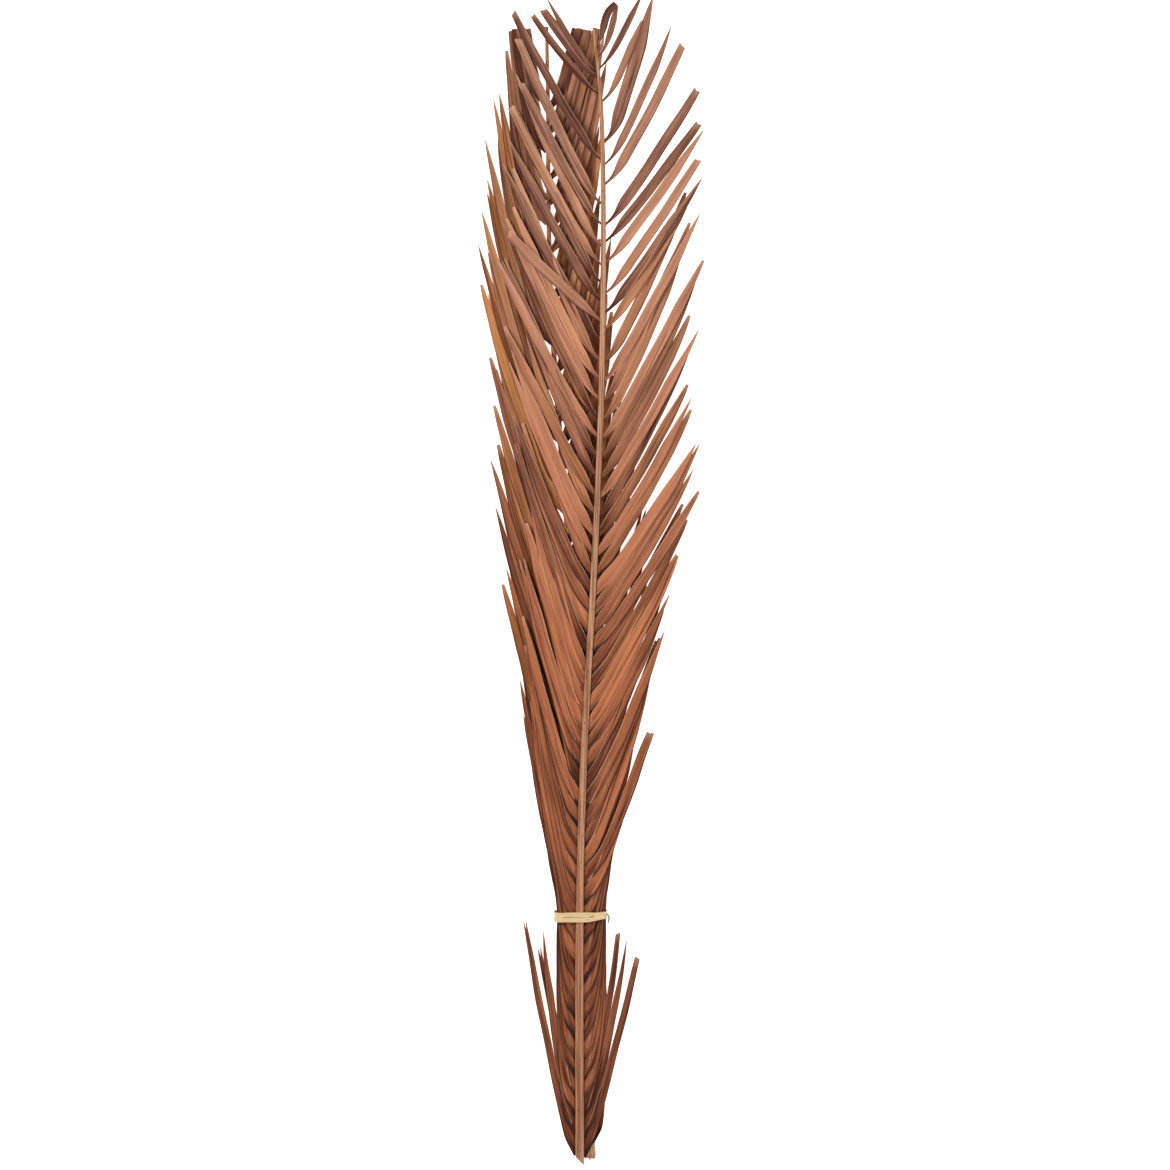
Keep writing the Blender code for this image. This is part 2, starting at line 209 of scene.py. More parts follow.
# A leaflet bends off its heel over one length, bows a little, and sinks as it goes out.
HEEL_BEND = 8 * MM
BOW = math.radians(5)
SLOPE = 0.056
HEEL_DROP = 1.3 * MM
HEEL_DROP_LENGTH = 15 * MM
LIFT_LENGTH = 20 * MM
STRAY_BLADE = 0.7
STRIP_WIDE = 1.0 * MM
LEAFLETS_PER_FAN = 4
ENDS = ("point", "point", "point", "blunt", "blunt", "split")
TRIM_Y = 1.164
# How far neighbours lean together and each alone, in degrees, and how much the other sizes vary, as shares.
BUNCH_LEAN, BUNCH_STEP, LONE_LEAN = 2.2, 2.3, 2.0
BOW_VARIES, LENGTH_VARIES, WIDTH_VARIES = 0.6, 0.08, 0.12
# The leaning is a quarter as strong near the butts, and grows to its full strength 0.4 m up.
CALM_TO, CALM_OVER, CALM_SHARE = 0.2, 0.2, 0.25
TOPMOST_LIFT = 1.5 * MM
RIGHT_SEED = 100
BLADE_SEEDS = {"left": 5, "right": 7}

FRONT = {
    "name": "front",
    "seed": 11,
    "trim": None,
    "x": [(0, -0.0105), (0.26, -0.0105), (0.43, -0.0057), (0.586, 0.003), (0.764, 0.0108), (0.95, 0.0137),
          (1.083, 0.0112), (1.158, 0.0036)],
    "z": [(0, 0.0285), (0.25, 0.0300), (0.6, 0.0310), (1.158, 0.0300)],
    "radius": [(0, 0.0046), (0.25, 0.0041), (0.5, 0.0034), (0.8, 0.0029), (1.05, 0.0023), (1.158, 0.0010)],
    "heel": [(0, 30), (0.1, 35), (0.2, 38), (0.5, 42), (0.8, 52), (1.2, 56)],
    "roots": {"left": (0.020, 0.868), "right": (0.018, 0.84)},
    "spacing": [(0, 0.0196), (1.2, 0.0196)],
    "wander": 1,
    "strays": {"left": 2, "right": 3},
    "flung": {
        "left": [(0.020, 11.7, 0.235, 0, "split"), (0.040, 8, 0.200, 0, "point"),
                 (0.866, 47, 0.128, 0.009, "cut")],
        "right": [(0.018, 15, 0.200, 0, "cut"), (0.038, 12, 0.195, 0, "point"), (0.057, 10, 0.182, 0, "cut"),
                  (0.272, 25, 0.122, 0, "cut"), (0.290, 31, 0.176, 0, "cut")],
    },
    "crown": {
        "left": [(0.884, 29, 0.190, 8.5, "point"), (0.903, 25, 0.200, 8.5, "point"),
                 (0.921, 29, 0.185, 8.5, "cut"), (0.940, 25, 0.195, 8.0, "point"),
                 (0.962, 28, 0.165, 8.0, "cut"), (0.983, 25, 0.189, 8.5, "cut"),
                 (1.028, 28, 0.175, 7.5, "cut"), (1.094, 34, 0.104, 6.5, "cut"),
                 (1.111, 30, 0.088, 8.5, "cut"), (1.117, 25, 0.090, 5.0, "point")],
        "right": [(0.855, 31, 0.159, 8.5, "point"), (0.872, 34, 0.168, 9.0, "point"),
                  (0.8915, 33, 0.166, 8.5, "cut"), (0.923, 35, 0.168, 9.0, "point"),
                  (0.9445, 37, 0.153, 9.0, "cut"), (0.962, 33, 0.166, 9.5, "cut"),
                  (1.003, 28, 0.163, 9.0, "cut"), (1.023, 25, 0.157, 7.0, "point"),
                  (1.0465, 18, 0.156, 11.5, "point"), (1.087, 26, 0.092, 6.5, "point"),
                  (1.120, 34, 0.090, 5.5, "point"), (1.132, 22, 0.055, 6.0, "blunt")],
    },
    "blade": [(0.02, 0.0085), (0.3, 0.0088), (0.9, 0.0088), (1.13, 0.0078)],
    "droop": {
        "left": [(0, 0.05), (0.12, 0.05), (0.4, 0.11), (1.2, 0.11)],
        "right": [(0, 0.10), (0.12, 0.10), (0.4, 0.26), (1.2, 0.26)],
    },
    "lean": {
        "left": [(0.02, 15), (0.075, 11), (0.12, 8), (0.20, 9), (0.253, 11), (0.311, 13), (0.372, 15),
                 (0.474, 19), (0.576, 23), (0.678, 26), (0.866, 27)],
        "right": [(0.02, 15), (0.075, 11), (0.12, 8), (0.20, 10), (0.253, 13), (0.311, 17), (0.372, 22),
                  (0.474, 25.5), (0.576, 28), (0.760, 23.5), (0.852, 28)],
    },
    "length": {
        "left": [(0.02, 0.210), (0.168, 0.222), (0.27, 0.225), (0.372, 0.205), (0.78, 0.209), (0.88, 0.199)],
        "right": [(0.02, 0.180), (0.168, 0.225), (0.27, 0.220), (0.372, 0.195), (0.474, 0.183),
                  (0.76, 0.196), (0.852, 0.180)],
    },
}
REAR = {
    "name": "rear",
    "seed": 23,
    "trim": TRIM_Y,
    "x": [(0.006, 0.0000), (0.08, -0.0020), (0.253, -0.0100), (0.43, -0.0115), (0.56, -0.0165),
          (0.678, -0.0255), (0.78, -0.0335), (0.88, -0.0400), (0.984, -0.0425), (1.086, -0.0430),
          (1.163, -0.0445)],
    "z": [(0.006, 0.0145), (0.25, 0.0160), (0.7, 0.0160), (1.163, 0.0150)],
    "radius": [(0.006, 0.0062), (0.04, 0.0050), (0.25, 0.0040), (0.5, 0.0033), (0.8, 0.0027),
               (1.163, 0.0018)],
    "heel": [(0, 47), (0.2, 38), (0.5, 42), (0.8, 52), (1.2, 56)],
    "roots": {"left": (0.034, 1.100), "right": (0.030, 1.100)},
    "spacing": [(0, 0.0245), (1.2, 0.0245)],
    "wander": 0.5,
    "strays": {"left": 1, "right": 0},
    "flung": {"left": [(0.034, 11, 0.192, 0, "split")], "right": []},
    "crown": {"left": [], "right": []},
    "blade": [(0.02, 0.0085), (0.3, 0.0092), (1.1, 0.0100)],
    "droop": {"left": [(0, 0.0), (1.2, 0.0)], "right": [(0, 0.0), (1.2, 0.0)]},
    "lean": {
        "left": [(0.02, 15), (0.075, 11), (0.12, 9), (0.20, 10), (0.253, 12), (0.311, 14.5), (0.372, 16.5),
                 (0.474, 16), (0.56, 13.5), (0.678, 13), (0.78, 12), (0.882, 9), (0.984, 8), (1.11, 8)],
        "right": [(0.02, 15), (0.075, 11), (0.12, 8), (0.253, 9), (0.311, 12), (0.372, 16), (0.474, 17),
                  (0.576, 15), (0.678, 14.5), (0.78, 15), (0.882, 15), (0.984, 14), (1.11, 12)],
    },
    "length": {
        "left": [(0.02, 0.180), (0.168, 0.215), (0.27, 0.230), (0.576, 0.245), (0.78, 0.235), (0.882, 0.214),
                 (1.11, 0.190)],
        "right": [(0.02, 0.180), (0.168, 0.210), (0.27, 0.215), (0.474, 0.205), (1.11, 0.190)],
    },
}


def rachis_point(frond, y):
    return Vector((along(frond["x"], y), y, along(frond["z"], y)))


def rachis_turn(frond, y):
    """The angle between the rachis and +Y at height y, positive to the right."""
    step = 2 * MM
    ahead, behind = rachis_point(frond, y + step), rachis_point(frond, y - step)
    return math.atan2(ahead.x - behind.x, ahead.y - behind.y)


def leaflets_of(frond, side_name):
    """Every leaflet of one side, from the butt up, as a dict of what makes its shape."""
    y, last = frond["roots"][side_name]
    chance = random.Random(frond["seed"] + (RIGHT_SEED if side_name == "right" else 0))
    lean_at, length_at = frond["lean"][side_name], frond["length"][side_name]
    leaflets = []

    def add(y, lean, length, blade, end, lift=0.0):
        stray = len(leaflets) < frond["strays"][side_name]
        leaflets.append({
            "frond": frond["name"],
            "side": 1 if side_name == "right" else -1,
            "y": y,
            "stray": stray,
            "lean": math.radians(lean),
            "length": length,
            "bow": BOW * (1 + BOW_VARIES * chance.uniform(-1, 1)),
            "blade": blade * (STRAY_BLADE if stray else 1),
            "droop": along(frond["droop"][side_name], y),
            "lift": lift,
            "end": end,
        })

    while y <= last:
        # Neighbours lean together in twos and threes, and each has its own small wander.
        free = min(max((y - CALM_TO) / CALM_OVER, CALM_SHARE), 1)
        bunch = BUNCH_LEAN * math.sin(BUNCH_STEP * len(leaflets) + frond["seed"])
        lean = along(lean_at, y) + frond["wander"] * free * (bunch + LONE_LEAN * chance.uniform(-1, 1))
        length = along(length_at, y) * (1 + LENGTH_VARIES * chance.uniform(-1, 1))
        blade = along(frond["blade"], y) * (1 + WIDTH_VARIES * chance.uniform(-1, 1))
        end = chance.choice(ENDS)
        add(y, lean, length, blade, end)
        y += along(frond["spacing"], y)
    crown = frond["crown"][side_name]
    for y, lean, length, blade, end in crown:
        add(y, lean, length, blade * MM, end, lift=TOPMOST_LIFT if y == crown[-1][0] else 0)
    for y, lean, length, lift, end in frond["flung"][side_name]:
        nearest = min(leaflets, key=lambda leaf: abs(leaf["y"] - y))
        nearest.update(lean=math.radians(lean), length=length, lift=lift, end=end)
    return leaflets


def leaflet_line(frond, leaf, steps=48):
    """The leaflet's middle line, as (length so far, point), from its root to its tip or its trimmed end."""
    side = leaf["side"]
    root = rachis_point(frond, leaf["y"])
    turn = rachis_turn(frond, leaf["y"])
    x = root.x + side * (along(frond["radius"], leaf["y"]) + GAP + STRIP_WIDE)
    y = root.y
    line = []
    step = leaf["length"] / steps
    heel_lean = math.radians(along(frond["heel"], leaf["y"]))
    for k in range(steps + 1):
        run = k * step
        drop = SLOPE * run + HEEL_DROP * (1 - math.exp(-run / HEEL_DROP_LENGTH)) + leaf["droop"] * run * run
        drop -= leaf["lift"] * (1 - math.exp(-run / LIFT_LENGTH))
        off = x - TIE_X
        if not leaf["stray"]:
            off /= (1 + (off / along(WAIST, y)) ** 4) ** 0.25
        if frond["trim"] and y > frond["trim"]:
            break
        line.append((run, Vector((TIE_X + off, y, root.z - drop))))
        heel = math.exp(-(run + step / 2) / HEEL_BEND)
        heading = leaf["lean"] - leaf["bow"] * (run / leaf["length"] - 0.5)
        heading = heading + (heel_lean - heading) * heel
        x += step * math.sin(turn + side * heading)
        y += step * math.cos(turn + side * heading)
    return line


for frond in (FRONT, REAR):
    print(frond["name"], "leaflets:", {side: len(leaflets_of(frond, side)) for side in ("left", "right")})

# %% [markdown]
# ## One blade, modelled once
# A palm leaflet is a long strip folded along its middle, like a paper gutter. It is modelled once, as a
# flat grid two units wide and one long whose columns are moved in edit mode: two close to the crease, so
# that the crease stays crisp, and two close to the edges, where the dry margin is a little thicker. Every
# leaflet is a copy of it.

# %% The master blade
BLADE_COLUMNS, BLADE_ROWS = 8, 34
CREASE_COLUMN, MARGIN_COLUMN = 0.10, 0.91
bpy.ops.mesh.primitive_grid_add(x_subdivisions=BLADE_COLUMNS, y_subdivisions=BLADE_ROWS, size=2,
                                calc_uvs=True)
blade = bpy.context.object
blade.name = "master_blade"
select_only(blade)
bpy.ops.object.mode_set(mode="EDIT")
for old, new in ((0.25, CREASE_COLUMN), (0.75, MARGIN_COLUMN)):
    select_points(blade, lambda co: abs(abs(co.x) - old) < 0.01)
    bpy.ops.transform.resize(value=(new / old, 1, 1), center_override=(0, 0, 0))
# A half blade is not flat: it swells a little between the crease and the margin.
for column, swell in ((CREASE_COLUMN, 0.012), (0.5, 0.05), (MARGIN_COLUMN, 0.018)):
    select_points(blade, lambda co: abs(abs(co.x) - column) < 0.01)
    bpy.ops.transform.translate(value=(0, 0, swell))
bpy.ops.mesh.select_all(action="SELECT")
bpy.ops.transform.translate(value=(0, 1, 0))
bpy.ops.transform.resize(value=(1, 0.5, 1), center_override=(0, 0, 0))
bpy.ops.object.mode_set(mode="OBJECT")
blade_points = np.empty(len(blade.data.vertices) * 3)
blade.data.vertices.foreach_get("co", blade_points)
blade_points = blade_points.reshape(-1, 3)
print("master blade:", len(blade_points), "points", blade_points.min(0), blade_points.max(0))

# %% [markdown]
# ## Bending a copy into its place
# A copy is bent by carrying each of its rows to the leaflet's middle line, which is a curve bend done
# point by point: Blender's Curve modifier would need a curve object per leaflet and can't close the fold
# at the heel. Each row gets its own width, fold and roll. The line is led back to the middle of the stalk,
# so that every heel grows out of it. Ends differ as on real fronds: half are pointed, and the others are
# blunt, split or trimmed square.

# %% How wide a blade is
# By height: how far from its root a front blade is full width, and how narrow its heel is before that.
FULL_WIDTH_AT = [(0, 0.010), (0.3, 0.012), (0.5, 0.018), (0.8, 0.028), (1.0, 0.030), (1.2, 0.026)]
HEEL_SHARE = [(0, 0.90), (0.1, 0.85), (0.3, 0.80), (0.5, 0.70), (0.7, 0.52), (0.85, 0.42), (1.2, 0.40)]
# The inner half of a base runs up the stalk: how much wider it is, and over what length it narrows again.
BASE_WING = [(0, 0.7), (0.1, 0.9), (0.4, 1.3), (0.58, 1.2), (0.75, 0.35), (0.9, 0.0), (1.2, 0.0)]
WING_LENGTH = 18 * MM
REAR_HEEL_SHARE = 0.8
# Real blades are this much fuller than the fans of the solids, and a stray is wider again near its root.
FULLER = 1.17
STRAY_BASE, STRAY_BASE_LENGTH = 0.45, 60 * MM
# How narrow each kind of end is, over what share of the blade's length it narrows, and along what curve.
END_SHARE = {"point": 0.07, "blunt": 0.30, "cut": 0.74, "split": 0.42}
TAPER = {"point": 0.32, "blunt": 0.26, "cut": 0.30, "split": 0.34}
TAPER_CURVE = 0.8


def blade_half(leaf, run):
    """Half width at distances from the root: a narrow heel, a parallel middle, then the end."""
    rear = leaf["frond"] == "rear"
    reach = np.clip(run / (FULL_WIDTH_AT[0][1] if rear else along(FULL_WIDTH_AT, leaf["y"])), 0, 1)
    heel = REAR_HEEL_SHARE if rear else along(HEEL_SHARE, leaf["y"])
    heel = heel + (1 - heel) * reach * reach * (3 - 2 * reach)
    end = np.clip((1 - run / leaf["length"]) / TAPER[leaf["end"]], 0, 1) ** TAPER_CURVE
    least = END_SHARE[leaf["end"]]
    base = 1 + STRAY_BASE * np.exp(-(run / STRAY_BASE_LENGTH) ** 2) if leaf["stray"] else 1
    return FULLER * leaf["blade"] / 2 * heel * base * (least + (1 - least) * end)


# %% Folds, rolls and ends
# A blade's fold and roll in the open and how much they vary, and how far it twists on its way to the tip.
FOLD, FOLD_VARIES = math.radians(13), 0.5
ROLL, ROLL_VARIES, REAR_ROLL = math.radians(-11), 0.8, 0.5
TWIST, UNTWISTED_AT = math.radians(16), 0.3
# It folds and rolls more at the heel, by these degrees, and by a few more high up, where they are sparse.
HEEL_CLOSES = 16 * MM
HEEL_FOLD, SPARSE_FOLD = 20, 12
HEEL_ROLL, SPARSE_ROLL = 14, 4
SPARSE_FROM, SPARSE_OVER = 0.50, 0.35
# Its edges wave a little, but not at the heel.
WAVE, WAVE_LENGTH, WAVE_FROM = 0.25 * MM, 13 * MM, 0.03
# Rows are even but for a part that crowds to the heel. Cuts slant, and the crease of a split end opens.
EVEN_ROWS, CROWDED_ROWS = 0.7, 0.3
CUT_SLANT, END_POWER = 0.45, 14
CREASE_OPENS, OPEN_NARROWS = {"cut": 0.15, "split": 1.6}, 1.6
LED_BACK = 9.5 * MM
# The rear blades' bases sit this much higher than the stalk's top, and come down over this length.
REAR_ON_TOP, REAR_ON_TOP_LENGTH = 0.6 * MM, 12 * MM
# Front blades keep to their own side of the stalk: how near its middle they come and how far below it they
# start, as shares of its radius, how little they pass that, and how steeply they may rise outwards.
OWN_SIDE, SUNK, PASS_IT, RISE_OUT = 0.35, 0.15, 0.1, 0.75
# Along the stalk, each blade passes this much lower under the next ones for each metre of its length.
CLIMB_DOWN = 0.10
print("a blade folds", round(math.degrees(FOLD)), "degrees and rolls", round(math.degrees(ROLL)), "degrees")

# %% The tie's outline
# The tie's outline. On its right the bundle is narrower and slopes off, and the raffia is drawn in to it.
WRAP_HALF_X, WRAP_HALF_Z, WRAP_THICK = 27.6 * MM, 17.2 * MM, 0.7 * MM
WRAP_SQUARENESS, WRAP_FLATTENED = 5, 0.985
DRAWN_IN, SLOPED = 0.93, 2.4
TIE_MIDDLE_Z = WRAP_FLATTENED * (WRAP_HALF_Z + WRAP_THICK)
TIE_ROOM, TIE_REACH = 0.6 * MM, 8 * MM
HEIGHTS = np.linspace(-0.02, 1.22, 400)
print("inside the tie:", [round(2 * half / MM, 1) for half in (WRAP_HALF_X, WRAP_HALF_Z)], "mm")

# %% The blades' tones
# By height: how light the blades are, how much they differ, and how much painted light lightens those on the
# right.
TONE_LEVEL = [(0, 0.64), (0.3, 0.61), (0.5, 0.61), (0.8, 0.60), (0.95, 0.49), (1.2, 0.44)]
TONE_VARIES = [(0, 0.17), (0.25, 0.22), (0.45, 0.34), (0.7, 0.38), (1.2, 0.34)]
RIGHT_PAINTED_LIGHT = [(0, 0.0), (0.25, 0.0), (0.5, 0.08), (1.2, 0.06)]
# Leaflets lifted clear of the bundle catch the light, and strays lie in its shade.
LIFTED, LIFTED_TONE, STRAY_TONE = 5 * MM, 0.75, 0.5
# How orange a blade can be, and where that grows from the butt and fades to the crown, with its least share.
GOLDEN = {"front": 0.25, "rear": 0.75}
GOLD_FROM, GOLD_GROWS, GOLD_LEAST = 0.15, 0.4, 0.2
GOLD_TO, GOLD_FADES, GOLD_LAST = 0.99, 0.14, 0.15
# The tone's height runs to the crown, and a blade's own map counts its length in tenths of a metre.
CROWN_Y, MAP_LENGTH = 1.17, 0.1
print("tone at the butt, halfway and at the crown:", [round(along(TONE_LEVEL, y), 2) for y in (0, 0.6, 1.2)])


# %% Room for a blade
def under_stalk(frond, side, run, points):
    """Points of a front blade, kept to their side of the stalk, below its middle there and under the tie."""
    y = points[:, 1] - SHIFT.y
    middle_x, middle_z, radius = [np.interp(y, HEIGHTS, [along(frond[key], h) for h in HEIGHTS])
                                  for key in ("x", "z", "radius")]
    out = (points[:, 0] - SHIFT.x - middle_x) * side
    nearest = OWN_SIDE * radius
    out = np.where(out < nearest, nearest + PASS_IT * (out - nearest), out)
    most = middle_z + SHIFT.z - SUNK * radius + RISE_OUT * (out - radius)
    most = most - CLIMB_DOWN * np.clip(run, 0, None)
    # Where the tie passes over them, blades stay under its inside.
    from_middle = points[:, 0] - SHIFT.x - TIE_X
    share = np.clip(from_middle / (DRAWN_IN * WRAP_HALF_X), 0, 1)
    inside = TIE_MIDDLE_Z - TIE_ROOM + WRAP_HALF_Z * (1 - share ** SLOPED) ** (1 / SLOPED)
    near_tie = np.abs(y - TIE_Y) < TIE_REACH
    most = np.where(near_tie, np.minimum(most, inside + SHIFT.z), most)
    points[:, 0] = SHIFT.x + middle_x + side * out
    points[:, 2] = np.minimum(points[:, 2], most)
    return points


def led_back(frond, leaf):
    """The leaflet's line as two arrays, lengths and places, led back from its root to inside the stalk."""
    line = leaflet_line(frond, leaf)
    runs = np.array([run for run, _ in line])
    places = np.array([tuple(point + SHIFT) for _, point in line])
    radius = along(frond["radius"], leaf["y"])
    heel_lean = math.radians(along(frond["heel"], leaf["y"]))
    back = min((radius + GAP + STRIP_WIDE) / math.sin(heel_lean), LED_BACK)
    first = places[0] - (places[1] - places[0]) / runs[1] * back
    runs, places = np.append(-back, runs), np.vstack([first, places])
    if frond["name"] == "rear":
        # These bases sit on top of the stalk and hide it.
        places[:, 2] += (radius + REAR_ON_TOP) * np.exp(-np.clip(runs, 0, None) / REAR_ON_TOP_LENGTH)
    return runs, places


for frond in (FRONT, REAR):
    lowest = leaflets_of(frond, "left")[0]
    print(frond["name"], "heel led back", round(-led_back(frond, lowest)[0][0] / MM, 1), "mm")


# %% Bending
def bend_blade(frond, leaf, chance, line=None):
    """A copy of the master blade, bent to one leaflet's line, with its tone stored on its points."""
    runs, places = line or led_back(frond, leaf)
    u, v = blade_points[:, 0], blade_points[:, 1]
    # Rows crowd a little towards the heel, where the line bends most.
    run = runs[0] + (runs[-1] - runs[0]) * (EVEN_ROWS * v + CROWDED_ROWS * v * v)
    # A cut is on the slant, so the blade's two halves end at different lengths. A split opens the crease.
    near_end = v ** END_POWER
    slanted = leaf["end"] in ("cut", "split")
    slant = leaf["blade"] * chance.uniform(-CUT_SLANT, CUT_SLANT) if slanted else 0
    split = CREASE_OPENS.get(leaf["end"], 0) * leaf["blade"]
    opened = split * np.clip(1 - OPEN_NARROWS * np.abs(u), 0, 1)
    run = np.clip(run + (slant * u - opened) * near_end, runs[0], runs[-1])
    centre = np.stack([np.interp(run, runs, places[:, i]) for i in range(3)], axis=1)
    tangents = np.gradient(places, runs, axis=0)
    heading = np.stack([np.interp(run, runs, tangents[:, i]) for i in range(2)], axis=1)
    heading /= np.linalg.norm(heading, axis=1, keepdims=True)
    side = leaf["side"]
    outer = np.stack([heading[:, 1] * side, -heading[:, 0] * side, np.zeros(len(run))], axis=1)
    up = np.array([0, 0, 1.0])

    half = blade_half(leaf, run)
    from_root = np.clip(run, 0, None)
    sparse = np.clip((leaf["y"] - SPARSE_FROM) / SPARSE_OVER, 0, 1)
    closing = np.exp(-(from_root / HEEL_CLOSES) ** 2)
    fold = FOLD * (1 + FOLD_VARIES * chance.uniform(-1, 1))
    fold = fold + math.radians(HEEL_FOLD + SPARSE_FOLD * sparse) * closing
    twist = TWIST * chance.uniform(-1, 1)
    roll = ROLL * (1 + ROLL_VARIES * chance.uniform(-1, 1))
    roll = roll + twist * (from_root / leaf["length"] - UNTWISTED_AT)
    roll = roll - math.radians(HEEL_ROLL + SPARSE_ROLL * sparse) * closing
    roll = roll * (REAR_ROLL if leaf["frond"] == "rear" else 1)
    wave = WAVE * np.sin(run / WAVE_LENGTH + chance.uniform(0, 6)) * np.clip(from_root / WAVE_FROM, 0, 1)

    across = outer * np.cos(roll)[:, None] + up * np.sin(roll)[:, None]
    rise = up * np.cos(roll)[:, None] - outer * np.sin(roll)[:, None]
    wing = 1 + along(BASE_WING, leaf["y"]) * np.exp(-(from_root / WING_LENGTH) ** 2) * (u < 0)
    points = centre + across * (u * half * wing * np.cos(fold) + wave)[:, None]
    points += rise * (half * (np.abs(u) * np.sin(fold) + blade_points[:, 2]))[:, None]

    if frond is FRONT and line is None:
        points = under_stalk(frond, side, run, points)

    obj = blade.copy()
    obj.data = blade.data.copy()
    bpy.context.scene.collection.objects.link(obj)
    obj.data.vertices.foreach_set("co", points.ravel())
    tone = obj.data.attributes.new("leaf_tone", "FLOAT_COLOR", "POINT")
    varied = along(TONE_VARIES, leaf["y"])
    # Painted light: blades on the right are made lighter than the rest.
    level = along(TONE_LEVEL, leaf["y"]) + along(RIGHT_PAINTED_LIGHT, leaf["y"]) * (side > 0)
    bright = np.clip(level + varied * chance.uniform(-1, 1), 0, 1)
    if leaf["lift"] > LIFTED:
        bright = LIFTED_TONE
    if leaf["stray"]:
        bright *= STRAY_TONE
    golden = chance.random() ** 3 * GOLDEN[leaf["frond"]]
    grown = min(max((leaf["y"] - GOLD_FROM) / GOLD_GROWS, GOLD_LEAST), 1)
    golden *= grown * min(max((GOLD_TO - leaf["y"]) / GOLD_FADES, GOLD_LAST), 1)
    values = np.ones((len(run), 4))
    values[:, 0], values[:, 1] = bright, golden
    values[:, 2] = np.clip(run / leaf["length"], 0, 1)
    values[:, 3] = (centre[:, 1] - SHIFT.y) / CROWN_Y
    tone.data.foreach_set("color", values.ravel())
    seed_at = chance.uniform(0, 40)
    uv = np.empty(len(obj.data.loops) * 2)
    obj.data.uv_layers[0].data.foreach_get("uv", uv)
    uv = uv.reshape(-1, 2)
    uv[:, 1] = uv[:, 1] * runs[-1] / MAP_LENGTH + seed_at
    obj.data.uv_layers[0].data.foreach_set("uv", uv.ravel())
    return obj


MEASURED_AT = 80 * MM
widths = [2 / MM * float(blade_half(leaf, np.array([MEASURED_AT]))[0])
          for leaf in leaflets_of(FRONT, "left")]
print("blades are", round(min(widths), 1), "to", round(max(widths), 1), "mm wide")

# %% [markdown]
# ## The leaflet's finish: dry palm leaf
# Dry palm leaf is a mat of parallel fibres under a thin waxy skin. The eye reads long straight streaks,
# lighter and darker by a few tones, a pale dry margin that is partly painted highlight, a darker reddish
# heel that is partly painted shade, and a satin sheen that runs across the fibres. Painted shade also
# darkens the crease, the outer half and the outer rim of each blade. Some leaflets dried mauve-brown and
# others, less bleached, stayed orange, so tone and warmth come from each blade.


# %% Dry palm leaf
def stretched(tree, uv, across, lengthwise, **inputs):
    """Noise on a blade's own map: features per 9 mm of width and per 100 mm of length."""
    place = add_node(tree, "VectorMath", {0: uv, 1: (across, lengthwise, 1)}, operation="MULTIPLY")
    noise = add_node(tree, "TexNoise", {"Vector": place.outputs[0], "Scale": 1, **inputs},
                     noise_dimensions="2D")
    return noise.outputs["Fac"]


